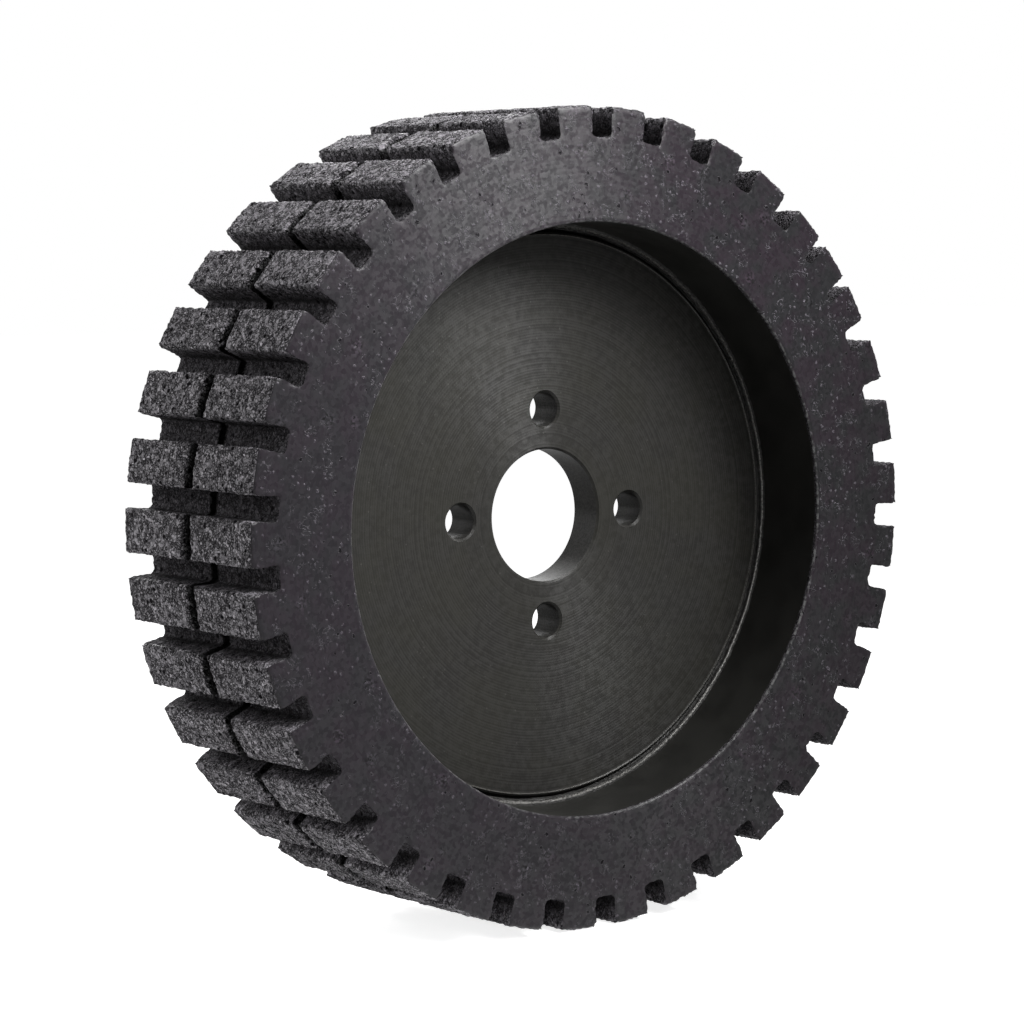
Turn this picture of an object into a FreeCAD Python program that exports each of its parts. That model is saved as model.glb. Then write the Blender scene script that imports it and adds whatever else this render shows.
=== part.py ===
import FreeCAD, Part

import math
import os

import Sketcher

# Drive wheel: a turned hub plate is welded into a round band, and two rings of
# lugged rubber crumb are slid onto the band from both sides and glued.
# Millimetres. The origin is the wheel's centre, on its axis and halfway across
# the tread. The axis runs along Y, the open dish faces -Y, and +Z is up.

SIZES = {
    # tyre
    "wheel_diameter": 305.0,
    "tread_width": 84.0,
    "tyre_height": 37.0,
    "lip_thickness": 1.5,
    "lip_chamfer": 0.6,
    # slots across the tread, in step from the first one, clockwise from the front
    "slot_count": 36,
    "slot_pitch_angle": 9.6,
    "first_slot_angle": 26.0,
    "slot_width": 9.0,
    "slot_depth": 11.5,
    "slot_corner_radius": 1.5,
    # narrower slots that share the arc which the others leave over
    "narrow_slot_count": 2,
    "narrow_slot_width": 4.5,
    # groove where the two rubber rings meet
    "seam_groove_width": 4.6,
    "seam_groove_floor_width": 2.4,
    "seam_groove_depth": 13.5,
    # band
    "band_wall": 5.0,
    "bond_thickness": 0.5,
    # hub plate
    "plate_thickness": 15.0,
    "plate_setback": 31.0,
    "plate_fit": 0.05,
    "plate_bevel": 5.0,
    "bore_diameter": 50.0,
    "bore_chamfer": 0.8,
    "bolt_circle": 80.0,
    "bolt_count": 4,
    "bolt_hole": 13.0,
    "bolt_hole_chamfer": 0.8,
    # weld beads between plate and band
    "weld_leg": 3.2,
    "weld_reach": 0.8,
    "weld_crown_radius": 4.0,
}

# how far a cutting profile runs past the tread
CUT_MARGIN = 5.0
# the least volume that a cut has to take away
LEAST_CUT = 1.0
# how closely a measured radius or place has to match when an edge is looked up
MATCH = 1e-4

TREAD_RADIUS = "sizes.wheel_diameter / 2"
BOND_RADIUS = f"({TREAD_RADIUS} - sizes.tyre_height)"
BAND_RADIUS = f"({BOND_RADIUS} - sizes.bond_thickness)"
DISH_RADIUS = f"({BAND_RADIUS} - sizes.band_wall)"
HALF_TREAD = "sizes.tread_width / 2"
LIP_SEAT = f"({HALF_TREAD} - sizes.lip_thickness)"
PLATE_RADIUS = f"({DISH_RADIUS} - sizes.plate_fit)"
PLATE_FRONT = f"({HALF_TREAD} - sizes.plate_setback)"
PLATE_BACK = f"({PLATE_FRONT} - sizes.plate_thickness)"

CLOSING_ARC = "(360 - (sizes.slot_count - 1) * sizes.slot_pitch_angle)"
WIDTH_LEAD = "((sizes.slot_width - sizes.narrow_slot_width) / sizes.wheel_diameter * 360 / pi)"
NARROW_STEP = f"(({CLOSING_ARC} - {WIDTH_LEAD}) / (sizes.narrow_slot_count + 1))"
NARROW_START = f"(sizes.first_slot_angle + {NARROW_STEP} + {WIDTH_LEAD} / 2)"

doc = FreeCAD.newDocument("drive_wheel")
sizes = doc.addObject("Spreadsheet::Sheet", "sizes")


def fill_sheet():
    """Write every driving dimension into the sheet, one named cell each."""
    for row, (name, number) in enumerate(SIZES.items(), start=1):
        sizes.set(f"A{row}", name)
        sizes.set(f"B{row}", str(number))
        sizes.setAlias(f"B{row}", name)
    doc.recompute()


def value(expression):
    """The number that an expression on the sheet comes to."""
    return float(sizes.evalExpression(expression))


def new_body(name):
    body = doc.addObject("PartDesign::Body", name)
    body.Label = name
    return body


def origin_feature(body, role):
    for feature in body.Origin.OriginFeatures:
        if feature.Role == role:
            return feature
    raise ValueError(f"{body.Label} has no {role}")


def new_sketch(body, name, plane):
    sketch = body.newObject("Sketcher::SketchObject", f"{body.Label}_{name}")
    sketch.AttachmentSupport = [(origin_feature(body, plane), "")]
    sketch.MapMode = "FlatFace"
    return sketch


def dimension(sketch, constraint, expression):
    """Add a constraint and bind it to the sheet."""
    index = sketch.addConstraint(constraint)
    sketch.setExpression(f"Constraints[{index}]", expression)


def place_point(sketch, curve, end, across, along):
    """Hold one end of a curve at its two distances from the sketch's origin."""
    for kind, axis, expression in (("DistanceX", -2, across), ("DistanceY", -1, along)):
        if expression == "0":
            sketch.addConstraint(Sketcher.Constraint("PointOnObject", curve, end, axis))
        else:
            rule = Sketcher.Constraint(kind, -1, 1, curve, end, value(expression))
            dimension(sketch, rule, expression)


def draw_outline(sketch, corners):
    """A closed outline of straight lines through corners given as expressions."""
    points = [FreeCAD.Vector(value(across), value(along), 0) for across, along in corners]
    count = len(points)
    for index in range(count):
        sketch.addGeometry(Part.LineSegment(points[index], points[(index + 1) % count]), False)
    for index in range(count):
        following = (index + 1) % count
        sketch.addConstraint(Sketcher.Constraint("Coincident", index, 2, following, 1))
    for index, (across, along) in enumerate(corners):
        place_point(sketch, index, 1, across, along)


def draw_circle(sketch, centre_across, diameter):
    """A circle on the sketch's horizontal axis."""
    centre = FreeCAD.Vector(value(centre_across), 0, 0)
    axis = FreeCAD.Vector(0, 0, 1)
    circle = sketch.addGeometry(Part.Circle(centre, axis, value(diameter) / 2), False)
    place_point(sketch, circle, 3, centre_across, "0")
    dimension(sketch, Sketcher.Constraint("Diameter", circle, value(diameter)), diameter)


def revolve(body, sketch):
    feature = body.newObject("PartDesign::Revolution", f"{body.Label}_revolution")
    feature.Profile = sketch
    feature.ReferenceAxis = (sketch, ["V_Axis"])
    feature.Angle = 360
    doc.recompute()
    return feature


def face_towards(sketch, side):
    """Turn a profile drawn on the rear half over to the front half."""
    if side == "front":
        half_turn = FreeCAD.Rotation(FreeCAD.Vector(1, 0, 0), 180)
        sketch.AttachmentOffset = FreeCAD.Placement(FreeCAD.Vector(0, 0, 0), half_turn)


def cut_through(body, sketch):
    """Cut a profile right through the body, both ways from its sketch."""
    before = body.Shape.Volume
    pocket = body.newObject("PartDesign::Pocket", f"{sketch.Label}_pocket")
    pocket.Profile = sketch
    pocket.SideType = "Symmetric"
    pocket.Type = "ThroughAll"
    doc.recompute()
    if body.Shape.Volume > before - LEAST_CUT:
        raise ValueError(f"{pocket.Label} cuts nothing")
    return pocket


def repeat_round(body, feature, count, step=None, reverse=False):
    """Repeat a cut about the wheel's axis, evenly or by a stated step."""
    before = body.Shape.Volume
    pattern = body.newObject("PartDesign::PolarPattern", f"{feature.Label}_pattern")
    pattern.Originals = [feature]
    pattern.Axis = (origin_feature(body, "Y_Axis"), [""])
    pattern.setExpression("Occurrences", count)
    if step:
        pattern.Mode = "Spacing"
        pattern.setExpression("Offset", step)
    else:
        pattern.Angle = 360
    pattern.Reversed = reverse
    body.Tip = pattern
    doc.recompute()
    if value(count) > 1 and body.Shape.Volume > before - LEAST_CUT:
        raise ValueError(f"{pattern.Label} repeats nothing")
    return pattern


def chamfer_circles(body, name, diameter, size, at_heights=None):
    """Chamfer the round edges of one diameter, all of them or at given places along Y."""
    base = body.Tip
    radius = value(diameter) / 2
    edges = []
    for number, edge in enumerate(base.Shape.Edges, start=1):
        if not isinstance(edge.Curve, Part.Circle) or abs(edge.Curve.Radius - radius) > MATCH:
            continue
        centre = edge.Curve.Center
        if at_heights is None or any(abs(centre.y - place) < MATCH for place in at_heights):
            edges.append(f"Edge{number}")
    if not edges:
        raise ValueError(f"{name} finds no edge")
    feature = body.newObject("PartDesign::Chamfer", f"{body.Label}_{name}")
    feature.Base = (base, edges)
    feature.setExpression("Size", size)
    body.Tip = feature
    doc.recompute()
    return feature


def make_ring(name, inner_radius, outer_radius, front, length):
    """A plain round sleeve that runs rearwards from its front edge."""
    body = new_body(name)
    sketch = new_sketch(body, "profile", "XZ_Plane")
    sketch.setExpression("AttachmentOffset.Base.z", front)
    draw_circle(sketch, "0", f"2 * {outer_radius}")
    draw_circle(sketch, "0", f"2 * {inner_radius}")
    doc.recompute()
    pad = body.newObject("PartDesign::Pad", f"{name}_pad")
    pad.Profile = sketch
    pad.Reversed = True
    pad.setExpression("Length", length)
    doc.recompute()
    return body


def make_hub_plate():
    """The thick turned plate: centre bore, bolt holes, and edges bevelled for welding."""
    body = make_ring("hub_plate", "sizes.bore_diameter / 2", PLATE_RADIUS,
                     PLATE_FRONT, "sizes.plate_thickness")
    chamfer_circles(body, "weld_bevel", f"2 * {PLATE_RADIUS}", "sizes.plate_bevel")
    chamfer_circles(body, "bore_chamfer", "sizes.bore_diameter", "sizes.bore_chamfer")
    sketch = new_sketch(body, "bolt_hole", "XZ_Plane")
    draw_circle(sketch, "sizes.bolt_circle / 2", "sizes.bolt_hole")
    doc.recompute()
    hole = cut_through(body, sketch)
    repeat_round(body, hole, "sizes.bolt_count")
    chamfer_circles(body, "bolt_hole_chamfer", "sizes.bolt_hole", "sizes.bolt_hole_chamfer")
    return body


def make_rim_band():
    """The round band that carries the rubber; the rubber's lips cover its edges."""
    return make_ring("rim_band", DISH_RADIUS, BAND_RADIUS, LIP_SEAT, f"2 * {LIP_SEAT}")


def make_bond_layer():
    """The sleeve of cured adhesive between the band and the rubber."""
    return make_ring("tyre_bond_layer", BAND_RADIUS, BOND_RADIUS, LIP_SEAT, f"2 * {LIP_SEAT}")


def make_weld_bead(side):
    """A rounded bead in the plate's bevel, against the band."""
    body = new_body(f"{side}_weld_bead")
    sketch = new_sketch(body, "profile", "XY_Plane")
    if side == "front":
        face_towards(sketch, "front")
        face = PLATE_FRONT
    else:
        face = f"(0 - {PLATE_BACK})"
    root = f"({face} - sizes.plate_bevel)"
    toe_radius = f"({PLATE_RADIUS} - sizes.weld_leg)"
    toe_place = f"({root} + sizes.weld_leg)"
    crown_place = f"({face} + sizes.weld_reach)"

    root_point = FreeCAD.Vector(value(PLATE_RADIUS), value(root), 0)
    crown_point = FreeCAD.Vector(value(PLATE_RADIUS), value(crown_place), 0)
    toe_point = FreeCAD.Vector(value(toe_radius), value(toe_place), 0)
    chord = crown_point - toe_point
    outwards = FreeCAD.Vector(-chord.y, chord.x, 0).normalize()
    crown_radius = value("sizes.weld_crown_radius")
    rise = crown_radius - (crown_radius**2 - (chord.Length / 2) ** 2) ** 0.5
    middle = toe_point + chord / 2 + outwards * rise

    sketch.addGeometry(Part.LineSegment(toe_point, root_point), False)
    sketch.addGeometry(Part.LineSegment(root_point, crown_point), False)
    sketch.addGeometry(Part.Arc(crown_point, middle, toe_point), False)
    sketch.addConstraint(Sketcher.Constraint("Coincident", 0, 2, 1, 1))
    sketch.addConstraint(Sketcher.Constraint("Coincident", 1, 2, 2, 1))
    sketch.addConstraint(Sketcher.Constraint("Coincident", 2, 2, 0, 1))
    place_point(sketch, 0, 1, toe_radius, toe_place)
    place_point(sketch, 1, 1, PLATE_RADIUS, root)
    place_point(sketch, 1, 2, PLATE_RADIUS, crown_place)
    dimension(sketch, Sketcher.Constraint("Radius", 2, crown_radius), "sizes.weld_crown_radius")
    doc.recompute()
    revolve(body, sketch)
    return body


def draw_slot(sketch, width):
    """One slot lying along the sketch's horizontal axis, its floor corners rounded."""
    floor = value(f"{TREAD_RADIUS} - sizes.slot_depth")
    mouth = value(f"{TREAD_RADIUS} + {CUT_MARGIN}")
    half = value(width) / 2
    corner = value("sizes.slot_corner_radius")
    bow = corner * (1 - math.cos(math.radians(45)))

    upper_mouth = FreeCAD.Vector(mouth, half, 0)
    upper_side_end = FreeCAD.Vector(floor + corner, half, 0)
    upper_bow = FreeCAD.Vector(floor + bow, half - bow, 0)
    upper_floor_end = FreeCAD.Vector(floor, half - corner, 0)
    lower_floor_end = FreeCAD.Vector(floor, corner - half, 0)
    lower_bow = FreeCAD.Vector(floor + bow, bow - half, 0)
    lower_side_end = FreeCAD.Vector(floor + corner, -half, 0)
    lower_mouth = FreeCAD.Vector(mouth, -half, 0)
    sketch.addGeometry([
        Part.LineSegment(lower_side_end, lower_mouth),
        Part.LineSegment(lower_mouth, upper_mouth),
        Part.LineSegment(upper_mouth, upper_side_end),
        Part.Arc(upper_side_end, upper_bow, upper_floor_end),
        Part.LineSegment(upper_floor_end, lower_floor_end),
        Part.Arc(lower_floor_end, lower_bow, lower_side_end),
    ], False)

    lower_side, mouth_line, upper_side, upper_arc, floor_line, lower_arc = range(6)
    sketch.addConstraint(Sketcher.Constraint("Coincident", lower_side, 2, mouth_line, 1))
    sketch.addConstraint(Sketcher.Constraint("Coincident", mouth_line, 2, upper_side, 1))
    sketch.addConstraint(Sketcher.Constraint("Horizontal", lower_side))
    sketch.addConstraint(Sketcher.Constraint("Horizontal", upper_side))
    sketch.addConstraint(Sketcher.Constraint("Vertical", floor_line))
    arc_of = {}
    for line, line_end, arc in ((upper_side, 2, upper_arc), (floor_line, 1, upper_arc),
                                (floor_line, 2, lower_arc), (lower_side, 1, lower_arc)):
        point = sketch.getPoint(line, line_end)
        arc_end = 1 if sketch.getPoint(arc, 1).distanceToPoint(point) < MATCH else 2
        arc_of[(line, line_end)] = (arc, arc_end)
    for (line, line_end), (arc, arc_end) in arc_of.items():
        sketch.addConstraint(Sketcher.Constraint("Tangent", line, line_end, arc, arc_end))
    sketch.addConstraint(Sketcher.Constraint("Equal", upper_arc, lower_arc))
    sketch.addConstraint(Sketcher.Constraint("Symmetric", mouth_line, 1, mouth_line, 2, -1))
    dimension(sketch, Sketcher.Constraint("Radius", upper_arc, corner), "sizes.slot_corner_radius")
    rule = Sketcher.Constraint("DistanceY", mouth_line, 1, mouth_line, 2, value(width))
    dimension(sketch, rule, width)
    rule = Sketcher.Constraint("DistanceX", -1, 1, mouth_line, 1, mouth)
    dimension(sketch, rule, f"{TREAD_RADIUS} + {CUT_MARGIN}")
    rule = Sketcher.Constraint("DistanceX", -1, 1, floor_line, 1, floor)
    dimension(sketch, rule, f"{TREAD_RADIUS} - sizes.slot_depth")


def cut_slots(body, name, width, angle, count, step, reverse):
    """Cut one slot across the tread and repeat it round the wheel."""
    sketch = new_sketch(body, name, "XZ_Plane")
    sketch.setExpression("AttachmentOffset.Rotation.Angle", angle)
    draw_slot(sketch, width)
    doc.recompute()
    slot = cut_through(body, sketch)
    return repeat_round(body, slot, count, step, reverse)


def make_tyre_ring(side):
    """Half of the tyre: a thin lip over the band's edge, a bevel at the seam, and the lugs."""
    body = new_body(f"{side}_tyre_ring")
    sketch = new_sketch(body, "profile", "XY_Plane")
    face_towards(sketch, side)
    groove_radius = f"({TREAD_RADIUS} - sizes.seam_groove_depth)"
    draw_outline(sketch, [
        (BOND_RADIUS, "0"),
        (groove_radius, "0"),
        (groove_radius, "sizes.seam_groove_floor_width / 2"),
        (TREAD_RADIUS, "sizes.seam_groove_width / 2"),
        (TREAD_RADIUS, HALF_TREAD),
        (DISH_RADIUS, HALF_TREAD),
        (DISH_RADIUS, LIP_SEAT),
        (BOND_RADIUS, LIP_SEAT),
    ])
    doc.recompute()
    revolve(body, sketch)
    outer_face = value(HALF_TREAD)
    if side == "front":
        outer_face = -outer_face
    chamfer_circles(body, "lip_chamfer", f"2 * {DISH_RADIUS}", "sizes.lip_chamfer", [outer_face])
    cut_slots(body, "slot", "sizes.slot_width", "sizes.first_slot_angle",
              "sizes.slot_count", "sizes.slot_pitch_angle", False)
    cut_slots(body, "narrow_slot", "sizes.narrow_slot_width", NARROW_START,
              "sizes.narrow_slot_count", NARROW_STEP, True)
    return body


def check(bodies):
    """Stop before anything is written if any object failed or any shape is wrong."""
    for item in doc.Objects:
        if "Invalid" in item.State or "Error" in item.State:
            raise ValueError(f"{item.Label} failed: {item.State}")
    for body in bodies:
        shape = body.Shape
        if shape.isNull() or not shape.isValid() or len(shape.Solids) != 1:
            raise ValueError(f"{body.Label} is not one valid solid")


def write_steps(bodies):
    os.makedirs("parts", exist_ok=True)
    for body in bodies:
        body.Shape.exportStep(f"parts/{body.Label}.step")


fill_sheet()
wheel = [
    make_hub_plate(),
    make_rim_band(),
    make_weld_bead("front"),
    make_weld_bead("rear"),
    make_bond_layer(),
    make_tyre_ring("front"),
    make_tyre_ring("rear"),
]
doc.recompute()
check(wheel)
write_steps(wheel)
for body in wheel:
    print(body.Label, round(body.Shape.Volume), body.Shape.BoundBox)
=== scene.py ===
import math

import bmesh
import bpy
import numpy as np
from bpy.props import FloatProperty, FloatVectorProperty, IntProperty, PointerProperty
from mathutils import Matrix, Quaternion, Vector, noise


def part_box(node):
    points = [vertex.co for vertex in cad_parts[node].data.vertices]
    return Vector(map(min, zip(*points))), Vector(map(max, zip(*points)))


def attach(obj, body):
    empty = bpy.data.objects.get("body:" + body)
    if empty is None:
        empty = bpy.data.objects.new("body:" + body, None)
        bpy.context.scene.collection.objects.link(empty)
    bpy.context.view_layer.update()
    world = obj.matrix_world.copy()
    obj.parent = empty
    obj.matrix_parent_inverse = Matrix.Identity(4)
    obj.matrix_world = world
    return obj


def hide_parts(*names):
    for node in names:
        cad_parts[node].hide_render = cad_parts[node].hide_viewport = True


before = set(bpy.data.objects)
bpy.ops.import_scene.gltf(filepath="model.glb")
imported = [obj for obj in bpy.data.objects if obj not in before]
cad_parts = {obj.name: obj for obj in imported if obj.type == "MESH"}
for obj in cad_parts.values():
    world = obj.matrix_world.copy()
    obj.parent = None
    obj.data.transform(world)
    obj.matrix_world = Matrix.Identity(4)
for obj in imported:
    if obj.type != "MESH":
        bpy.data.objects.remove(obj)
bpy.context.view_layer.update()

# Drive wheel with a wide tyre of bonded rubber crumb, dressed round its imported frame.
# Metres. The wheel's axis runs along Y through the origin, the dish faces -Y and +Z is up.

bl_info = {
    "name": "Crumb Rubber Drive Wheel",
    "version": (1, 0, 0),
    "blender": (4, 5, 0),
    "location": "3D View > Sidebar > Drive Wheel",
    "description": "Builds the tyre, band, welds and hub plate of a small drive wheel round its frame",
    "category": "Add Mesh",
}

MM = 0.001
TYRE_LOW, TYRE_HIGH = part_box("front_tyre_ring")
BOND_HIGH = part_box("tyre_bond_layer")[1]
BAND_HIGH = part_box("rim_band")[1]
PLATE_LOW, PLATE_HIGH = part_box("hub_plate")

TREAD_RADIUS = TYRE_HIGH.x
HALF_TREAD = -TYRE_LOW.y
BOND_RADIUS = BOND_HIGH.x
BAND_RADIUS = BAND_HIGH.x
LIP_SEAT = BAND_HIGH.y
PLATE_RADIUS = PLATE_HIGH.x
PLATE_FIT = 0.05 * MM
DISH_RADIUS = PLATE_RADIUS + PLATE_FIT

# a rubber ring's two materials, in their order
CRUMB = 0
TURNED = 1

# points closer than this are one point
JOIN_DISTANCE = 0.01 * MM
# edges over these angles stay sharp, on turned steel and on rubber and weld
STEEL_SHARP = math.radians(30)
ROUGH_SHARP = math.radians(50)
# what lies less than this below the tread belongs to a lug's top
LUG_TOP = 2 * MM
# how far outwards the surface leans on a lug's corners, from a wall's 0 to a top's 1
CORNER_LEANS = (0.4, 0.92)
# moves each pit to a place of its own in the noise that sets its size
PIT_SPREAD = 7.3
# rows of cells up a slot's wall, across a lug, along the tread and across the side face
WALL_CELLS = 11
LUG_CELLS = 15
TREAD_CELLS = 36
FACE_CELLS = 26
# cells round a turned piece, round one of its rounded edges, round one bolt hole,
# round a weld bead and across its crown
TURNED_CELLS = 512
ARC_CELLS = 4
HOLE_CELLS = 96
BEAD_CELLS = 1440
CROWN_CELLS = 18
# how quickly a bead's slow, quick and fine waves follow each other round the wheel
BEAD_RATES = (9, 31, 90)

# brushed gloss: how far it is drawn out, and a quarter turn to lay it across the marks
BRUSHED_STRETCH = 0.85
BRUSHED_TURN = 0.25
# how far a turned mark wanders, as a share of the pitch
MARK_WANDER = 0.7
# a cell without a spot counts as this small, so that nothing is divided by 0
SMALLEST_SPOT = 0.0001
# the camera's sensor in millimetres, and how much soft light the white background gives
SENSOR_WIDTH = 36
SOFT_LIGHT = 0.05


def length(name, description, default):
    return FloatProperty(name=name, description=description, default=default, unit="LENGTH", precision=5)


def colour(name, description, default):
    return FloatVectorProperty(name=name, description=description, default=default,
                               subtype="COLOR", size=3, min=0.0, max=1.0)


class TyreSettings(bpy.types.PropertyGroup):
    """The two rubber rings."""
    slot_count: IntProperty(name="Slots", description="Full-width slots across the tread", default=36)
    slot_pitch: FloatProperty(name="Slot pitch", description="Angle from slot to slot",
                              default=math.radians(9.6), subtype="ANGLE")
    first_slot: FloatProperty(name="First slot", description="Angle of the first slot above +X",
                              default=math.radians(26), subtype="ANGLE")
    slot_width: length("Slot width", "Gap between two lugs", 9 * MM)
    slot_depth: length("Slot depth", "Depth of a slot below the tread", 11.5 * MM)
    slot_corner: length("Slot corner", "Radius in a slot's floor corners", 1.5 * MM)
    narrow_count: IntProperty(name="Narrow slots", description="Slots in the arc left over", default=2)
    narrow_width: length("Narrow slot width", "Gap of the narrower slots", 4.5 * MM)
    seam_width: length("Seam width", "Width of the seam groove at the tread", 4.6 * MM)
    seam_floor: length("Seam floor", "Width of the seam groove at its floor", 3.2 * MM)
    seam_depth: length("Seam depth", "Depth of the seam groove below the tread", 13.5 * MM)
    lip_chamfer: length("Lip chamfer", "Chamfer at the dish", 0.6 * MM)
    grain_height: length("Grain height", "How rough the crumb is", 0.3 * MM)
    grain_shift: length("Grain shift", "How far grains lie off their rows", 0.25 * MM)
    slot_calm: FloatProperty(name="Slot calm", description="Share of the roughness that the slots have",
                             default=0.45)
    clump_height: length("Clump height", "Slow waves in the crumb", 0.3 * MM)
    clump_size: length("Clump size", "Size of the slow waves", 5 * MM)
    pit_spacing: length("Pit spacing", "Mean distance between pits in the tread", 5.2 * MM)
    pit_radius: length("Pit radius", "Radius of the largest pits in the tread", 1.5 * MM)
    pit_depth: length("Pit depth", "Depth of the largest pits in the tread", 1.3 * MM)
    edge_wear: length("Edge wear", "Crumb broken out of the outer edges", 0.5 * MM)
    corner_wear: length("Corner wear", "How far the lugs' corners are worn back", 0.55 * MM)
    face_pit_spacing: length("Face pit spacing", "Mean distance between pits in the side face", 9 * MM)
    face_pit_radius: length("Face pit radius", "Radius of the largest pits in the side face", 1.3 * MM)
    face_pit_depth: length("Face pit depth", "Depth of the largest pits in the side face", 0.9 * MM)
    crumb_colour: colour("Crumb colour", "Colour of the crumb's grains", (0.115, 0.108, 0.119))
    face_colour: colour("Face colour", "Colour of the turned side face", (0.0106, 0.0095, 0.0114))
    seed: IntProperty(name="Seed", description="Start of the random draws", default=11)


class HubSettings(bpy.types.PropertyGroup):
    """The hub plate and the band."""
    bore: length("Bore", "Radius of the centre bore", 25 * MM)
    bore_chamfer: length("Bore chamfer", "Chamfer at both ends of the bore", 0.8 * MM)
    bolt_circle: length("Bolt circle", "Radius of the circle of bolt holes", 40 * MM)
    bolt_count: IntProperty(name="Bolts", description="Number of bolt holes", default=4)
    bolt_hole: length("Bolt hole", "Radius of a bolt hole", 6.5 * MM)
    bolt_chamfer: length("Bolt hole chamfer", "Chamfer at both ends of a bolt hole", 0.8 * MM)
    bevel: length("Weld bevel", "Bevel on the plate's rim, for the weld", 4.0 * MM)
    burr: length("Burr", "Height and width of the burr along the plate's outer edges", 0.35 * MM)
    band_round: length("Band edge", "Rounding of the band's edges", 0.5 * MM)
    plate_colour: colour("Plate colour", "Colour of the coated plate", (0.0145, 0.0141, 0.0131))
    band_colour: colour("Band colour", "Colour of the coated band", (0.012, 0.0118, 0.0108))


class WeldSettings(bpy.types.PropertyGroup):
    """The weld beads between plate and band."""
    leg: length("Leg", "How far the bead climbs the plate's bevel", 2.6 * MM)
    reach: length("Reach", "How far the bead's end on the band lies past the plate's face", 0.1 * MM)
    ridge: length("Ridge", "Height of the bead's thin ridge", 1.1 * MM)
    ridge_width: length("Ridge width", "Half width of the ridge", 0.45 * MM)
    ridge_place: length("Ridge place", "How far the ridge stands from the bead's edge", 1.5 * MM)
    crown: length("Crown", "How far the bead bulges between its toes", 0.35 * MM)
    ripple_pitch: length("Ripple pitch", "Distance from ripple to ripple", 2.1 * MM)
    ripple_height: length("Ripple height", "Height of the ripples", 0.25 * MM)
    ripple_bend: FloatProperty(name="Ripple bend", description="How far a ripple bows, in ripples",
                               default=0.6)
    wander: length("Wander", "How far the bead's edges wander", 0.3 * MM)
    sink: length("Sink", "How far the bead's root lies in the bevel", 0.15 * MM)
    colour: colour("Weld colour", "Colour of the coated weld", (0.04, 0.0392, 0.0375))
    seed: IntProperty(name="Seed", description="Start of the random draws", default=5)


class StageSettings(bpy.types.PropertyGroup):
    """Camera, floor and lamps."""
    camera_place: FloatVectorProperty(name="Camera", description="Where the camera stands",
                                      default=(-0.7712, -1.0004, 0.1117), subtype="XYZ", size=3)
    camera_aim: FloatVectorProperty(name="Aim", description="The point on the tyre's front in mid-frame",
                                    default=(-0.03976, -0.042, 0.00569), subtype="XYZ", size=3)
    camera_roll: FloatProperty(name="Roll", description="The camera's roll",
                               default=math.radians(-0.695), subtype="ANGLE")
    camera_lens: FloatProperty(name="Lens", description="Focal length in millimetres", default=117.46)
    floor_size: length("Floor size", "Side of the floor", 12.0)
    floor_colour: colour("Floor colour", "Colour of the floor", (0.8, 0.8, 0.8))
    glow_low: FloatProperty(name="Glow", description="How white the floor is at the wheel", default=0.8)
    glow_reach: FloatVectorProperty(name="Glow reach", description="From where to where it turns white",
                                    default=(0.25, 0.9), unit="LENGTH", size=2)


def polar(radius, angle, along):
    """Points at a radius and angle round the wheel's axis and a place along it."""
    radius, angle, along = np.broadcast_arrays(radius, angle, along)
    return np.stack([radius * np.cos(angle), along, radius * np.sin(angle)], axis=-1)


def grid_quads(rows, columns, closed):
    """Corner numbers of a grid's quads, its columns run round if it is closed."""
    row, column = np.mgrid[0:rows - 1, 0:columns if closed else columns - 1]
    following = (column + 1) % columns
    corners = [row * columns + column, row * columns + following,
               (row + 1) * columns + following, (row + 1) * columns + column]
    return np.stack(corners, axis=-1).reshape(-1, 4)


def make_mesh(name, patches):
    """One mesh from grids of points, each with the number of its material."""
    points, quads, kinds, count = [], [], [], 0
    for grid, closed, kind in patches:
        rows, columns = grid.shape[:2]
        faces = grid_quads(rows, columns, closed) + count
        points.append(grid.reshape(-1, 3))
        quads.append(faces)
        kinds.append(np.full(len(faces), kind))
        count += rows * columns
    mesh = bpy.data.meshes.new(name)
    mesh.from_pydata(np.concatenate(points).tolist(), [], np.concatenate(quads).tolist())
    mesh.polygons.foreach_set("material_index", np.concatenate(kinds).astype(np.int32))
    return mesh


def close_mesh(mesh):
    """Join the grids where they meet and turn every face outwards."""
    shape = bmesh.new()
    shape.from_mesh(mesh)
    bmesh.ops.remove_doubles(shape, verts=shape.verts, dist=JOIN_DISTANCE)
    bmesh.ops.dissolve_degenerate(shape, edges=shape.edges, dist=JOIN_DISTANCE / 10)
    bmesh.ops.recalc_face_normals(shape, faces=shape.faces)
    if any(not edge.is_manifold for edge in shape.edges):
        raise RuntimeError(f"{mesh.name} isn't closed")
    shape.to_mesh(mesh)
    shape.free()


def add_piece(mesh, materials, body, node):
    """Put a piece in the scene in place of its plain solid."""
    piece = bpy.data.objects.new(mesh.name, mesh)
    bpy.context.scene.collection.objects.link(piece)
    for material in materials:
        mesh.materials.append(material)
    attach(piece, body)
    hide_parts(node)


def shade(mesh, sharp, smooth=True):
    """Smooth shading, on all faces or those given, that stays sharp at edges over an angle."""
    mesh.polygons.foreach_set("use_smooth", np.full(len(mesh.polygons), smooth))
    mesh.set_sharp_from_angle(angle=sharp)


def turned_profile(profile, cells, centre=(0, 0)):
    """A profile of (radius, place along the axis) turned round an axis."""
    angle = np.linspace(0, 2 * math.pi, cells, endpoint=False)
    rings = [polar(radius, angle, along) for radius, along in profile]
    return np.array(rings) + np.array([centre[0], 0, centre[1]])


def turned_ring(name, profile):
    """The mesh of a ring turned from a profile that runs back to its start."""
    mesh = make_mesh(name, [(turned_profile(profile + profile[:1], TURNED_CELLS), True, 0)])
    close_mesh(mesh)
    return mesh


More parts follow.
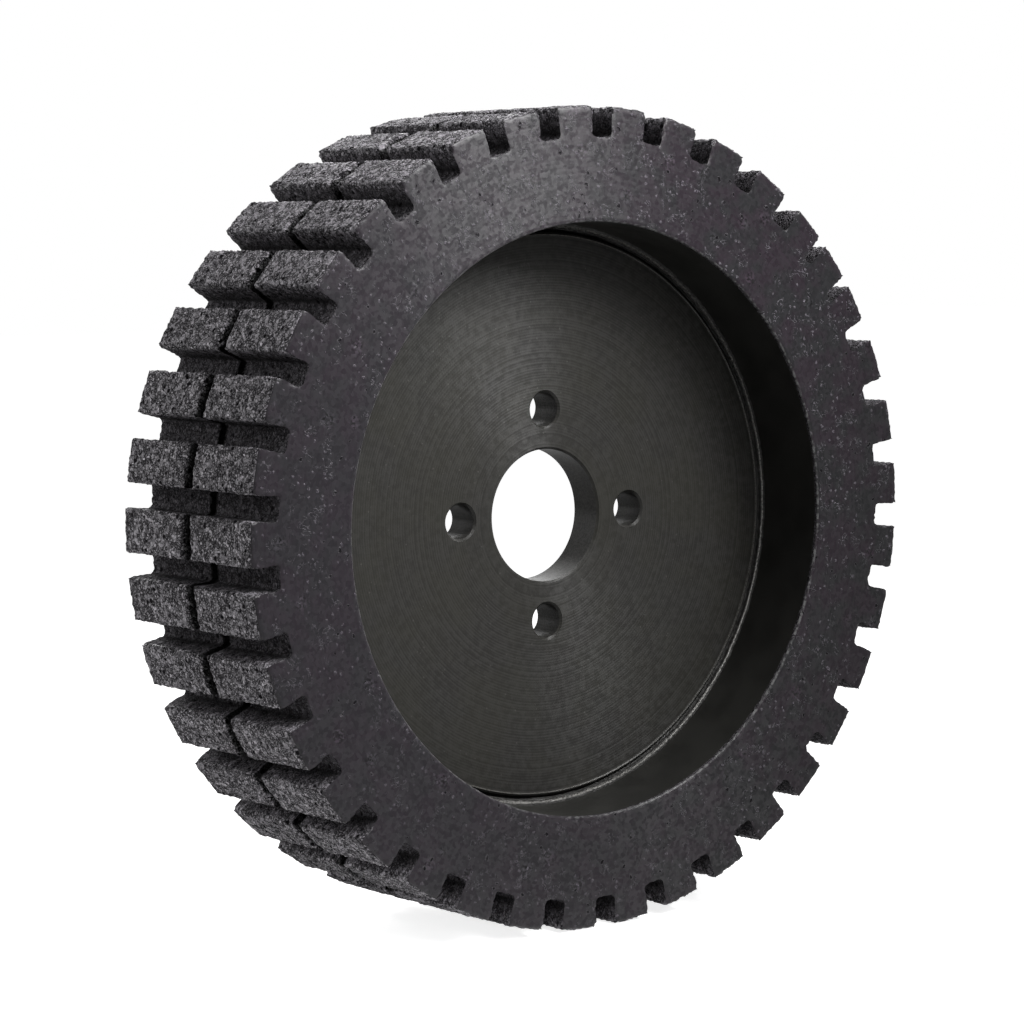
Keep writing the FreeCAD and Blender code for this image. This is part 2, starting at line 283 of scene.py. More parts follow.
class NodeBoard:
    """The nodes of one material or world, added and joined from left to right."""

    def __init__(self, owner):
        owner.use_nodes = True
        self.owner = owner
        self.tree = owner.node_tree
        self.tree.nodes.clear()
        self.place = self.add("ShaderNodeTexCoord").outputs["Object"]

    def add(self, kind, **settings):
        node = self.tree.nodes.new(kind)
        for key, setting in settings.items():
            setattr(node, key, setting)
        return node

    def join(self, source, socket):
        """Feed a socket from another socket, or set it to a plain number or colour."""
        if isinstance(source, bpy.types.NodeSocket):
            self.tree.links.new(source, socket)
        else:
            socket.default_value = source

    def join_all(self, node, sources):
        """Feed a node's sockets in their order and give the node back."""
        for source, socket in zip(sources, node.inputs):
            self.join(source, socket)
        return node

    def sum(self, operation, first, second=0.0, third=0.0):
        """Work out a sum on values."""
        node = self.add("ShaderNodeMath", operation=operation)
        return self.join_all(node, (first, second, third)).outputs[0]

    def product(self, first, *others):
        """Multiply values."""
        for other in others:
            first = self.sum("MULTIPLY", first, other)
        return first

    def vector_sum(self, operation, *sources):
        """Work out a sum on vectors and give the node's outputs."""
        node = self.add("ShaderNodeVectorMath", operation=operation)
        return self.join_all(node, sources).outputs

    def span(self, source, low, high, to_low=0.0, to_high=1.0, kind="SMOOTHSTEP"):
        """Move a value from one range to another and hold it there."""
        node = self.add("ShaderNodeMapRange", interpolation_type=kind)
        return self.join_all(node, (source, low, high, to_low, to_high)).outputs[0]

    def blend(self, factor, first, second, kind="MIX"):
        """Mix two colours."""
        node = self.add("ShaderNodeMix", data_type="RGBA", blend_type=kind)
        for value, name in ((factor, "Factor_Float"), (first, "A_Color"), (second, "B_Color")):
            socket = next(item for item in node.inputs if item.identifier == name)
            if isinstance(value, tuple):
                value = (*value, 1.0)
            self.join(value, socket)
        return next(item for item in node.outputs if item.identifier == "Result_Color")

    def soft_noise(self, size, detail, place=None):
        """The outputs of soft noise with features of a size in metres."""
        node = self.add("ShaderNodeTexNoise")
        self.join(place or self.place, node.inputs["Vector"])
        node.inputs["Scale"].default_value = 1 / size
        node.inputs["Detail"].default_value = detail
        return node.outputs

    def clouds(self, size, detail=3.0, place=None):
        """Soft noise as a value."""
        return self.soft_noise(size, detail, place)["Fac"]

    def cells(self, size, feature="F1", place=None):
        """Cells of a mean size in metres."""
        node = self.add("ShaderNodeTexVoronoi", feature=feature)
        self.join(place or self.place, node.inputs["Vector"])
        node.inputs["Scale"].default_value = 1 / size
        return node

    def channel(self, colour_socket, name="Red"):
        """One channel of a colour."""
        return self.join_all(self.add("ShaderNodeSeparateColor"), [colour_socket]).outputs[name]

    def grey(self, value):
        """A grey as light as a value."""
        return self.join_all(self.add("ShaderNodeCombineColor"), (value, value, value)).outputs[0]

    def parts(self, vector):
        """The X, Y and Z of a vector."""
        return self.join_all(self.add("ShaderNodeSeparateXYZ"), [vector]).outputs

    def distance_from_axis(self):
        """How far a point lies from the wheel's axis."""
        place = self.parts(self.place)
        across = self.product(place["X"], place["X"])
        up = self.product(place["Z"], place["Z"])
        return self.sum("SQRT", self.sum("ADD", across, up))

    def distance_from_middle(self):
        """How far a point lies from the wheel's middle plane."""
        return self.sum("ABSOLUTE", self.parts(self.place)["Y"])

    def facing_along(self):
        """How far the surface faces along the wheel's axis: 1 on a side face, 0 on a wall round the axis."""
        normal = self.add("ShaderNodeNewGeometry").outputs["Normal"]
        return self.sum("ABSOLUTE", self.parts(normal)["Y"])

    def warped(self, size, shift):
        """Places shifted by noise, so that what is drawn there has ragged outlines."""
        stir = self.soft_noise(size, detail=2.0)["Color"]
        return self.vector_sum("MULTIPLY_ADD", stir, (shift, shift, shift), self.place)[0]

    def facets(self, cells, place, size):
        """A height that leans each cell its own way, like the broken faces of grains."""
        offset = self.vector_sum("SUBTRACT", place, cells.outputs["Position"])[0]
        lean = self.vector_sum("SUBTRACT", cells.outputs["Color"], (0.5, 0.5, 0.5))[0]
        slope = self.vector_sum("DOT_PRODUCT", offset, lean)["Value"]
        return self.sum("DIVIDE", slope, size)

    def scattered(self, spacing, share, radius, place):
        """Round spots in a share of the cells: 1 in a spot's middle, 0 at its edge and outside."""
        spots = self.cells(spacing, place=place)
        chance = self.channel(spots.outputs["Color"], "Green")
        reach = self.span(chance, 1 - share, 1.0, 0.0, radius / spacing, kind="LINEAR")
        inside = self.sum("DIVIDE", spots.outputs["Distance"], self.sum("MAXIMUM", reach, SMALLEST_SPOT))
        return self.span(inside, 0.0, 1.0, 1.0, 0.0, kind="LINEAR")

    def turned_marks(self, pitch, drift, regular):
        """Round marks that a cutting tool leaves, in part regular and each a little off true."""
        wander = self.clouds(drift, detail=2.0)
        shifted = self.sum("MULTIPLY_ADD", wander, pitch * MARK_WANDER, self.distance_from_axis())
        line = self.join_all(self.add("ShaderNodeCombineXYZ"), [shifted]).outputs[0]
        uneven = self.clouds(pitch, detail=2.0, place=line)
        wave = self.sum("SINE", self.product(shifted, 2 * math.pi / pitch))
        even = self.sum("MULTIPLY_ADD", wave, 0.25, 0.5)
        return self.sum("ADD", self.product(uneven, 1 - regular), self.product(even, regular))

    def relief(self, height, depth, strength=1.0, below=None):
        """Tilt the surface by a height, which is worth a depth in metres."""
        node = self.add("ShaderNodeBump")
        self.join(height, node.inputs["Height"])
        node.inputs["Distance"].default_value = depth
        node.inputs["Strength"].default_value = strength
        if below is not None:
            self.join(below, node.inputs["Normal"])
        return node.outputs["Normal"]

    def finish(self, colour_source, roughness, normal, shine=0.5, brushed=False):
        """Close the material with its surface, whose gloss is drawn out if it is brushed round the axis."""
        surface = self.add("ShaderNodeBsdfPrincipled")
        self.join(colour_source, surface.inputs["Base Color"])
        self.join(roughness, surface.inputs["Roughness"])
        self.join(normal, surface.inputs["Normal"])
        self.join(shine, surface.inputs["Specular IOR Level"])
        if brushed:
            surface.inputs["Anisotropic"].default_value = BRUSHED_STRETCH
            surface.inputs["Anisotropic Rotation"].default_value = BRUSHED_TURN
            tangent = self.add("ShaderNodeTangent", direction_type="RADIAL", axis="Y")
            self.join(tangent.outputs[0], surface.inputs["Tangent"])
        output = self.add("ShaderNodeOutputMaterial")
        self.join(surface.outputs[0], output.inputs["Surface"])
        return self.owner


def scaled(base, factor):
    """A colour made darker or lighter by a factor."""
    return tuple(part * factor for part in base)


def crumb_gaps(board, place, grain_size):
    """How open the crumb is: crevices between its grains, wider in some places, and holes."""
    edge = board.cells(grain_size, feature="DISTANCE_TO_EDGE", place=place).outputs["Distance"]
    width = board.span(board.clouds(2.4 * MM, detail=2.0), 0.36, 0.6, 0.04, 0.34)
    crevice = board.span(edge, 0.0, width, 1.0, 0.0)
    hole = board.span(board.scattered(spacing=3.1 * MM, share=0.65, radius=1.3 * MM, place=place), 0.0, 0.4)
    return board.sum("MAXIMUM", board.product(crevice, 0.9), hole)


def crumb_with_painted_shade(board, tyre, crumbs, deep):
    """Painted shade: darken crumb down the slots' walls, less so on their floors, and blacken it in the seam
    groove, where shade falls.
    """
    radius = board.distance_from_axis()
    floor = TREAD_RADIUS - tyre.slot_depth
    # painted shade down the slots' walls, lighter on their floors
    slot_shade = board.span(radius, floor + 0.3 * MM, floor + 1.7 * MM, 0.6, 0.95)
    shaded_crumbs = board.blend(slot_shade, crumbs, deep)
    height_up = board.span(radius, floor + 2 * MM, TREAD_RADIUS - LUG_TOP, kind="LINEAR")
    crumbs = board.blend(height_up, shaded_crumbs, crumbs)
    off_seam = board.sum("SUBTRACT", board.distance_from_middle(), tyre.seam_width / 2)
    # painted shade: the seam groove is painted black
    seam = board.span(off_seam, 0.05 * MM, 0.45 * MM, 0.93, 0.0)
    return board.blend(seam, crumbs, (0.0, 0.0, 0.0))


def crumb_material(tyre):
    """Rough bonded crumb: leaning grains, crevices and holes between them in painted shade, and a few
    lighter grains that are partly painted glints.
    """
    board = NodeBoard(bpy.data.materials.new("crumb_rubber"))
    base = tuple(tyre.crumb_colour)
    # painted shade: the near-black colour put in the crevices, holes, slots and seam groove
    deep = scaled(base, 0.09)
    grain_size = 1.1 * MM
    place = board.warped(1.2 * MM, shift=0.9 * MM)
    grain = board.cells(grain_size, place=place)
    tone = board.channel(grain.outputs["Color"])
    crumbs = board.blend(tone, scaled(base, 0.6), scaled(base, 1.6))
    # a few grains painted lighter: partly lighter crumb, partly painted glints
    bright = board.span(tone, 0.9, 0.97)
    crumbs = board.blend(bright, crumbs, scaled(base, 2.1))
    gaps = crumb_gaps(board, place, grain_size)
    # painted shade in the crevices and holes between the grains
    crumbs = board.blend(gaps, crumbs, deep)
    crumbs = crumb_with_painted_shade(board, tyre, crumbs, deep)

    on_top = board.span(board.distance_from_axis(), TREAD_RADIUS - 3.5 * MM, TREAD_RADIUS - 1.2 * MM)
    height = board.sum("MULTIPLY_ADD", board.facets(grain, place, grain_size), 2.4, tone)
    height = board.sum("MULTIPLY_ADD", gaps, -1.6, height)
    height = board.product(height, board.span(on_top, 0.0, 1.0, 0.4, 1.0))
    coarse = board.relief(height, 0.6 * MM)
    fine = board.relief(board.clouds(0.45 * MM), 0.22 * MM, strength=0.7, below=coarse)
    rough = board.span(on_top, 0.0, 1.0, 0.9, board.span(tone, 0.0, 1.0, 0.75, 0.42))
    dull = board.sum("MAXIMUM", gaps, board.span(on_top, 0.0, 1.0, 0.6, 0.0))
    return board.finish(crumbs, rough, fine, shine=board.span(dull, 0.0, 1.0, 0.32, 0.0))


def face_blotches(board, base, worn_side):
    """Violet and green blotches, stronger on the side face's worn side."""
    blotch = board.span(board.clouds(9 * MM, detail=4.0), 0.38, 0.62)
    violet = (base[0] * 1.5, base[1] * 0.9, base[2] * 1.25)
    green = (base[0] * 0.85, base[1] * 1.1, base[2] * 0.9)
    return board.blend(worn_side, base, board.blend(blotch, violet, green))


def face_specks(board, worn_side):
    """Torn specks and threads of crumb that stand in clusters."""
    ragged = board.warped(0.9 * MM, shift=1.3 * MM)
    speck = board.scattered(spacing=2.9 * MM, share=0.5, radius=1.2 * MM, place=ragged)
    speck = board.span(speck, 0.1, 0.5)
    bend = board.sum("ABSOLUTE", board.sum("SUBTRACT", board.clouds(2.2 * MM, detail=2.0), 0.5))
    thread = board.span(bend, 0.008, 0.03, 1.0, 0.0)
    torn = board.span(board.clouds(4.5 * MM, detail=1.0), 0.56, 0.64, 0.0, 0.8)
    clusters = board.span(board.clouds(16 * MM, detail=2.0), 0.37, 0.52)
    broken = board.span(board.clouds(0.6 * MM, detail=2.0), 0.35, 0.6, 0.2, 1.0)
    either = board.sum("MAXIMUM", speck, board.product(thread, torn))
    return board.product(either, clusters, broken, worn_side)


def face_pits(board, place):
    """How deep in a ragged pit a point lies. The large pits are deeper in loose parts."""
    large = board.scattered(spacing=9 * MM, share=0.4, radius=3.6 * MM, place=place)
    small = board.scattered(spacing=3.4 * MM, share=0.12, radius=1.3 * MM, place=place)
    loose = board.span(board.clouds(34 * MM, detail=2.0), 0.42, 0.58, 0.3, 1.0)
    either = board.sum("MAXIMUM", board.product(large, loose), small)
    crumbled = board.span(board.clouds(0.9 * MM, detail=2.0), 0.4, 0.6, 0.0, 0.35)
    return board.sum("SUBTRACT", either, crumbled)


def face_material(tyre):
    """The crumb turned smooth: faint round marks, blotches, ragged pits darkened with painted shade, bright
    specks, and a pale band at the dish's edge that is partly chafing and partly a painted highlight.
    """
    board = NodeBoard(bpy.data.materials.new("turned_rubber"))
    base = tuple(tyre.face_colour)
    dark, light = scaled(base, 0.84), scaled(base, 1.18)
    # the wear and its colours are stronger towards +X
    worn_side = board.span(board.parts(board.place)["X"], -40 * MM, 110 * MM, 0.4, 1.0)
    place = board.warped(2.2 * MM, shift=1.8 * MM)
    tone = board.channel(board.cells(1.4 * MM, place=place).outputs["Color"])
    mottled = board.blend(tone, dark, light)
    rubber = board.blend(0.5, face_blotches(board, base, worn_side), mottled)
    marks = board.turned_marks(pitch=1.9 * MM, drift=30 * MM, regular=0.35)
    rubber = board.blend(board.span(marks, 0.35, 0.65, 0.0, 0.5), rubber, dark)
    specks = face_specks(board, worn_side)
    rubber = board.blend(board.product(specks, 0.75), rubber, scaled(base, 10))

    patch = board.scattered(spacing=13 * MM, share=0.6, radius=5 * MM, place=place)
    crumbs = board.span(board.channel(board.cells(0.8 * MM).outputs["Color"]), 0.0, 1.0, 0.25, 2.2)
    speckled = board.blend(1.0, rubber, board.grey(crumbs), kind="MULTIPLY")
    rubber = board.blend(board.span(patch, 0.1, 0.5), rubber, speckled)
    depth = face_pits(board, place)
    rim = board.product(board.span(depth, 0.0, 0.15), board.span(depth, 0.15, 0.4, 1.0, 0.0), 0.4)
    pit = board.span(depth, 0.2, 0.45)
    rubber = board.blend(rim, rubber, scaled(base, 3))
    # painted shade: the pits are painted darker
    rubber = board.blend(pit, rubber, scaled(base, 0.45))
    # a pale band along the dish's edge: chafed rubber, and a painted highlight on the edge
    off_dish = board.sum("SUBTRACT", board.distance_from_axis(), DISH_RADIUS)
    near_dish = board.span(off_dish, 0.3 * MM, 1.0 * MM, 0.8, 0.0)
    chafed = board.span(board.clouds(2.0 * MM, detail=4.0), 0.46, 0.6, 0.1, 1.0)
    scuffed_and_highlit = board.product(near_dish, chafed, worn_side)
    rubber = board.blend(scuffed_and_highlit, rubber, (base[1] * 13,) * 3)

    round_marks = board.relief(marks, 0.09 * MM, strength=0.8)
    skin = board.relief(board.clouds(0.9 * MM, detail=4.0), 0.09 * MM, strength=0.6, below=round_marks)
    raised = board.sum("SUBTRACT", board.sum("MAXIMUM", specks, rim), pit)
    normal = board.relief(raised, 0.35 * MM, strength=0.8, below=skin)
    rough = board.span(tone, 0.0, 1.0, 0.33, 0.42)
    mirror = board.span(board.sum("ADD", tone, marks), 0.3, 1.6, 0.105, 0.22)
    shine = board.product(mirror, board.span(pit, 0.0, 1.0, 1.0, 0.3))
    return board.finish(rubber, rough, normal, shine=shine, brushed=True)


def plate_material(hub):
    """Turned steel under a satin black coat, with fine round tool marks, painted shade on the bevel, and a
    bright burr edge that is partly worn coat and partly a painted highlight.
    """
    board = NodeBoard(bpy.data.materials.new("coated_turned_steel"))
    base = tuple(hub.plate_colour)
    dark, light, bright = scaled(base, 0.85), scaled(base, 1.15), scaled(base, 3)
    marks = board.turned_marks(pitch=1.05 * MM, drift=18 * MM, regular=0.3)
    streak = board.sum("SUBTRACT", board.clouds(2.4 * MM), 0.5)
    marks = board.sum("MULTIPLY_ADD", streak, 0.6, marks)
    coat = board.blend(board.span(marks, 0.34, 0.66), dark, light)
    cloud = board.span(board.clouds(22 * MM, detail=4.0), 0.35, 0.65)
    coat = board.blend(board.product(cloud, 0.5), coat, (base[0], base[1], base[2] * 0.85))
    fleck = board.scattered(spacing=2.2 * MM, share=0.12, radius=0.5 * MM, place=board.place)
    coat = board.blend(board.product(board.span(fleck, 0.1, 0.6), 0.6), coat, bright)
    grit = board.span(board.clouds(0.7 * MM), 0.35, 0.65)
    coat = board.blend(board.product(grit, 0.3), coat, dark)

    radius = board.distance_from_axis()
    shoulder = PLATE_RADIUS - hub.bevel
    # painted shade: the bevel beyond the shoulder is painted darker
    groove = board.span(radius, shoulder + 0.2 * MM, shoulder + 0.6 * MM)
    coat = board.blend(board.product(groove, 0.8), coat, scaled(base, 0.1))
    # the burr's edge painted bright: partly worn coat, partly a painted highlight
    off_edge = board.sum("ABSOLUTE", board.sum("SUBTRACT", radius, shoulder - hub.burr))
    worn = board.product(board.span(off_edge, hub.burr, 2 * hub.burr, 0.9, 0.0), board.span(grit, 0.0, 0.5))
    coat = board.blend(worn, coat, bright)
    flat = board.span(board.facing_along(), 0.3, 0.6)
    coat = board.blend(flat, board.blend(grit, scaled(base, 0.4), light), coat)

    rings = board.relief(marks, 0.07 * MM, strength=0.55)
    normal = board.relief(board.clouds(0.6 * MM, detail=4.0), 0.08 * MM, strength=0.7, below=rings)
    rough = board.span(marks, 0.3, 0.7, 0.34, 0.44)
    mirror = board.span(marks, 0.34, 0.66, 0.105, 0.18)
    in_groove = board.span(groove, 0.0, 1.0, 1.0, 0.1)
    on_wall = board.span(flat, 0.0, 1.0, 0.4, 1.0)
    shine = board.product(mirror, in_groove, on_wall)
    return board.finish(coat, rough, normal, shine=shine, brushed=True)


def band_material(hub):
    """Rolled steel under the same coat: smooth, with slow clouds in its tone."""
    board = NodeBoard(bpy.data.materials.new("coated_band_steel"))
    base = tuple(hub.band_colour)
    cloud = board.span(board.clouds(16 * MM, detail=4.0), 0.35, 0.65)
    coat = board.blend(cloud, scaled(base, 0.85), scaled(base, 1.15))
    skin = board.relief(board.clouds(1.2 * MM, detail=4.0), 0.06 * MM, strength=0.5)
    rough = board.span(cloud, 0.0, 1.0, 0.5, 0.6)
    return board.finish(coat, rough, skin, shine=0.08)


def weld_material(weld):
    """Weld metal under the coat: its ridge painted bright, partly worn coat and partly a painted highlight,
    and painted shade beside it, where it is rough.
    """
    board = NodeBoard(bpy.data.materials.new("coated_weld"))
    base = tuple(weld.colour)
    cloud = board.span(board.clouds(1.2 * MM, detail=4.0), 0.38, 0.62)
    coat = board.blend(cloud, scaled(base, 0.45), scaled(base, 1.5))
    crest = PLATE_RADIUS - weld.leg + weld.ridge_place * 0.85
    off_crest = board.sum("ABSOLUTE", board.sum("SUBTRACT", board.distance_from_axis(), crest))
    # painted shade beside the ridge
    beside = board.span(off_crest, 0.3 * MM, 1.0 * MM, 0.0, 0.7)
    coat = board.blend(beside, coat, scaled(base, 0.2))
    # the ridge painted bright: partly worn coat, partly a painted highlight
    worn = board.span(off_crest, 0.1 * MM, 0.75 * MM, 1.0, 0.0)
    chipped = board.span(board.clouds(0.8 * MM), 0.38, 0.55, 0.25, 1.0)
    coat = board.blend(board.product(worn, chipped), coat, scaled(base, 10))
    bead = board.relief(board.clouds(0.7 * MM), 0.25 * MM, strength=0.8)
    rough = board.span(cloud, 0.0, 1.0, 0.42, 0.62)
    return board.finish(coat, rough, bead, shine=0.3)


def adhesive_material():
    """Cured black adhesive, slightly lumpy."""
    board = NodeBoard(bpy.data.materials.new("cured_adhesive"))
    cloud = board.span(board.clouds(4 * MM), 0.35, 0.65)
    glue = board.blend(cloud, (0.02, 0.02, 0.02), (0.035, 0.035, 0.034))
    lumps = board.relief(board.clouds(2 * MM), 0.2 * MM, strength=0.6)
    return board.finish(glue, 0.45, lumps)


def slot_places(tyre):
    """The angle and half width of every slot, in order round the wheel."""
    places = [(tyre.first_slot - number * tyre.slot_pitch, tyre.slot_width / 2)
              for number in range(tyre.slot_count)]
    left_over = 2 * math.pi - (tyre.slot_count - 1) * tyre.slot_pitch
    lead = (tyre.slot_width - tyre.narrow_width) / TREAD_RADIUS
    step = (left_over - lead) / (tyre.narrow_count + 1)
    for number in range(tyre.narrow_count):
        angle = tyre.first_slot + lead / 2 + (number + 1) * step
        places.append((angle, tyre.narrow_width / 2))
    return sorted((angle % (2 * math.pi), half) for angle, half in places)


def slot_wall(tyre, half):
    """One wall of a slot from floor to tread: radii, and angles from the slot's middle."""
    floor = TREAD_RADIUS - tyre.slot_depth
    corner = tyre.slot_corner
    top = math.sqrt(TREAD_RADIUS**2 - half**2)
    halfway = math.radians(45)
    bow = corner * (1 - math.cos(halfway))
    along = np.concatenate([[floor, floor + bow], np.linspace(floor + corner, top, WALL_CELLS - 1)])
    across = np.concatenate([[half - corner, half - bow], np.full(WALL_CELLS - 1, half)])
    return np.hypot(along, across), np.arctan2(across, along)


def slot_floor(tyre, half):
    """The flat floor of a slot between its rounded corners, as radii and angles."""
    floor = TREAD_RADIUS - tyre.slot_depth
    reach = half - tyre.slot_corner
    cells = max(2, round(2 * reach / MM))
    across = np.linspace(-reach, reach, cells + 1)
    return np.hypot(floor, across), np.arctan2(across, floor)


def tread_layout(tyre):
    """The tread's outline with every slot, its lugs as grids, and the ring at slot-floor level."""
    slots = slot_places(tyre)
    outline, base, lugs = [], [], []
    for number, (angle, half) in enumerate(slots):
        next_angle, next_half = slots[(number + 1) % len(slots)]
        if next_angle < angle:
            next_angle += 2 * math.pi
        floor_radius, floor_turn = slot_floor(tyre, half)
        left_radius, left_turn = slot_wall(tyre, half)
        right_radius, right_turn = slot_wall(tyre, next_half)
        share = np.linspace(0, 1, LUG_CELLS + 1)
        radius = left_radius[:, None] * (1 - share) + right_radius[:, None] * share
        turn = (angle + left_turn)[:, None] * (1 - share) + (next_angle - right_turn)[:, None] * share
        lugs.append((radius, turn))
        floor_row = list(zip(floor_radius, angle + floor_turn))
        outline += floor_row
        outline += list(zip(radius[1:, 0], turn[1:, 0]))
        outline += list(zip(radius[-1, 1:-1], turn[-1, 1:-1]))
        outline += list(zip(radius[:0:-1, -1], turn[:0:-1, -1]))
        base += floor_row
        base += list(zip(radius[0, 1:-1], turn[0, 1:-1]))
    return np.array(outline).T, np.array(base).T, lugs


def seam_flank(tyre, radius):
    """How far the seam groove's flank stands from the seam at a radius."""
    rise = (radius - (TREAD_RADIUS - tyre.seam_depth)) / tyre.seam_depth
    return (tyre.seam_floor + rise * (tyre.seam_width - tyre.seam_floor)) / 2


def ring_patches(tyre, side):
    """The grids that make up one rubber ring, on the front (-1) or rear (1) half."""
    (outline_radius, outline_turn), (base_radius, base_turn), lugs = tread_layout(tyre)
    depth = np.linspace(0, 1, TREAD_CELLS + 1)[:, None]
    along = HALF_TREAD + depth * (seam_flank(tyre, outline_radius) - HALF_TREAD)
    patches = [(polar(outline_radius, outline_turn, side * along), True, CRUMB)]
    for radius, turn in lugs:
        patches.append((polar(radius, turn, side * HALF_TREAD), False, TURNED))
        patches.append((polar(radius, turn, side * seam_flank(tyre, radius)), False, CRUMB))

    groove = TREAD_RADIUS - tyre.seam_depth
    inside = [
        (groove, tyre.seam_floor / 2),
        (groove, 0.0),
        (BOND_RADIUS, 0.0),
        (BOND_RADIUS, LIP_SEAT),
        (DISH_RADIUS, LIP_SEAT),
        (DISH_RADIUS, HALF_TREAD - tyre.lip_chamfer),
        (DISH_RADIUS + tyre.lip_chamfer, HALF_TREAD),
    ]
    rows = [polar(base_radius, base_turn, side * seam_flank(tyre, base_radius))]
    rows += [polar(radius, base_turn, side * place) for radius, place in inside]
    patches.append((np.array(rows[:-1]), True, CRUMB))
    patches.append((np.array(rows[-2:]), True, TURNED))
    face_start = DISH_RADIUS + tyre.lip_chamfer
    share = np.linspace(0, 1, FACE_CELLS + 1)[:, None]
    face_radius = face_start + share * (base_radius - face_start)
    patches.append((polar(face_radius, base_turn, side * HALF_TREAD), True, TURNED))
    return patches


def read_numbers(items, name):
    """One whole number of every item of a mesh."""
    numbers = np.zeros(len(items), dtype=np.int32)
    items.foreach_get(name, numbers)
    return numbers


def read_vectors(items, name):
    """One vector of every item of a mesh."""
    vectors = np.zeros(len(items) * 3)
    items.foreach_get(name, vectors)
    return vectors.reshape(-1, 3)


def touched_by(mesh, kind):
    """Which points of a mesh lie on a face with the given material."""
    kinds = read_numbers(mesh.polygons, "material_index")
    corners = read_numbers(mesh.loops, "vertex_index")
    sizes = read_numbers(mesh.polygons, "loop_total")
    touched = np.zeros(len(mesh.vertices), dtype=bool)
    touched[corners[np.repeat(kinds, sizes) == kind]] = True
    return touched


def pit_depths(places, spacing, radius, depth):
    """Depth of scattered round pits at each place, each pit with its own size."""
    depths = np.zeros(len(places))
    for number, place in enumerate(places):
        distances, centres = noise.voronoi(Vector(place) / spacing)
        size = radius * (0.5 + 0.5 * noise.noise(centres[0] * PIT_SPREAD))
        near = distances[0] * spacing / size
        if near < 1:
            depths[number] = depth * (size / radius) * (1 - near**2)
    return depths


def roughen(mesh, tyre, side):
    """Give the tread its grains and pits, the side face its pits, and the edges and corners their wear."""
    random = np.random.default_rng(tyre.seed + side)
    count = len(mesh.vertices)
    places = read_vectors(mesh.vertices, "co")
    normals = read_vectors(mesh.vertex_normals, "vector")

    radius = np.hypot(places[:, 0], places[:, 2])
    groove = TREAD_RADIUS - tyre.seam_depth
    on_face = touched_by(mesh, TURNED)
    on_crumb = touched_by(mesh, CRUMB) & (radius > groove + MM)
    edge = on_face & on_crumb
    tread = on_crumb & ~on_face
    face = on_face & ~on_crumb & (radius > DISH_RADIUS + 2 * tyre.lip_chamfer)

    grains = random.uniform(-1, 1, count)
    clumps = np.array([noise.noise(Vector(place) / tyre.clump_size) for place in places])
    lift = tyre.grain_height * grains + tyre.clump_height * clumps - tyre.grain_height / 2
    lift[radius < TREAD_RADIUS - LUG_TOP] *= tyre.slot_calm
    lift[tread] -= pit_depths(places[tread], tyre.pit_spacing, tyre.pit_radius, tyre.pit_depth)
    outward = np.stack([places[:, 0], np.zeros(count), places[:, 2]], axis=1) / radius[:, None]
    leaning = np.sum(normals * outward, axis=1)
    on_corner = (leaning > CORNER_LEANS[0]) & (leaning < CORNER_LEANS[1])
    corner = tread & on_corner & (radius > TREAD_RADIUS - LUG_TOP)
    rim = edge & (radius > TREAD_RADIUS - LUG_TOP)
    lift[edge] = -tyre.edge_wear * random.uniform(0, 1, edge.sum()) ** 2
    lift[corner | rim] -= tyre.corner_wear
    lift[face] = -pit_depths(places[face], tyre.face_pit_spacing, tyre.face_pit_radius, tyre.face_pit_depth)
    lift[~(tread | edge | face)] = 0

    shift = random.uniform(-1, 1, (count, 3)) * tyre.grain_shift
    shift -= normals * np.sum(shift * normals, axis=1)[:, None]
    shift[~tread] = 0
    places = places + shift + normals * lift[:, None]
    mesh.vertices.foreach_set("co", places.ravel())
    mesh.update()


class DRIVEWHEEL_OT_tyre_rings(bpy.types.Operator):
    """Build the two rings of bonded rubber crumb with their lugs"""
    bl_idname = "drive_wheel.tyre_rings"
    bl_label = "Tyre Rings"

    def execute(self, context):
        tyre = context.scene.drive_wheel_tyre
        materials = [crumb_material(tyre), face_material(tyre)]
        for name, side in (("front", -1), ("rear", 1)):
            mesh = make_mesh(f"{name}_crumb_ring", ring_patches(tyre, side))
            close_mesh(mesh)
            roughen(mesh, tyre, side)
            shade(mesh, ROUGH_SHARP, smooth=read_numbers(mesh.polygons, "material_index") == TURNED)
            add_piece(mesh, materials, "root", f"{name}_tyre_ring")
        return {"FINISHED"}


def edge_arc(corner, before, after, reach):
    """A corner of a profile rounded off between the two lines that meet in it."""
    corner, before, after = np.array(corner), np.array(before), np.array(after)
    start = corner + (before - corner) / np.linalg.norm(before - corner) * reach
    end = corner + (after - corner) / np.linalg.norm(after - corner) * reach
    share = np.linspace(0, 1, ARC_CELLS + 1)[:, None]
    arc = (1 - share) ** 2 * start + 2 * share * (1 - share) * corner + share**2 * end
    return [tuple(point) for point in arc]


def drill(mesh, profile, centres):
    """Cut holes with the given profile through a mesh."""
    body = bpy.data.objects.new("blank", mesh)
    cutter_mesh = make_mesh("drill", [(turned_profile(profile, HOLE_CELLS, centre), True, 0)
                                      for centre in centres])
    close_mesh(cutter_mesh)
    cutter = bpy.data.objects.new("drill", cutter_mesh)
    for item in (body, cutter):
        bpy.context.scene.collection.objects.link(item)
    cut = body.modifiers.new("holes", "BOOLEAN")
    cut.operation = "DIFFERENCE"
    cut.solver = "EXACT"
    cut.object = cutter
    bpy.context.view_layer.update()
    drilled = bpy.data.meshes.new_from_object(body.evaluated_get(bpy.context.evaluated_depsgraph_get()))
    for item in (body, cutter):
        bpy.data.objects.remove(item)
    if len(drilled.polygons) == len(mesh.polygons):
        raise RuntimeError("the drill cut nothing")
    name = mesh.name
    for spent in (mesh, cutter_mesh):
        bpy.data.meshes.remove(spent)
    drilled.name = name
    return drilled


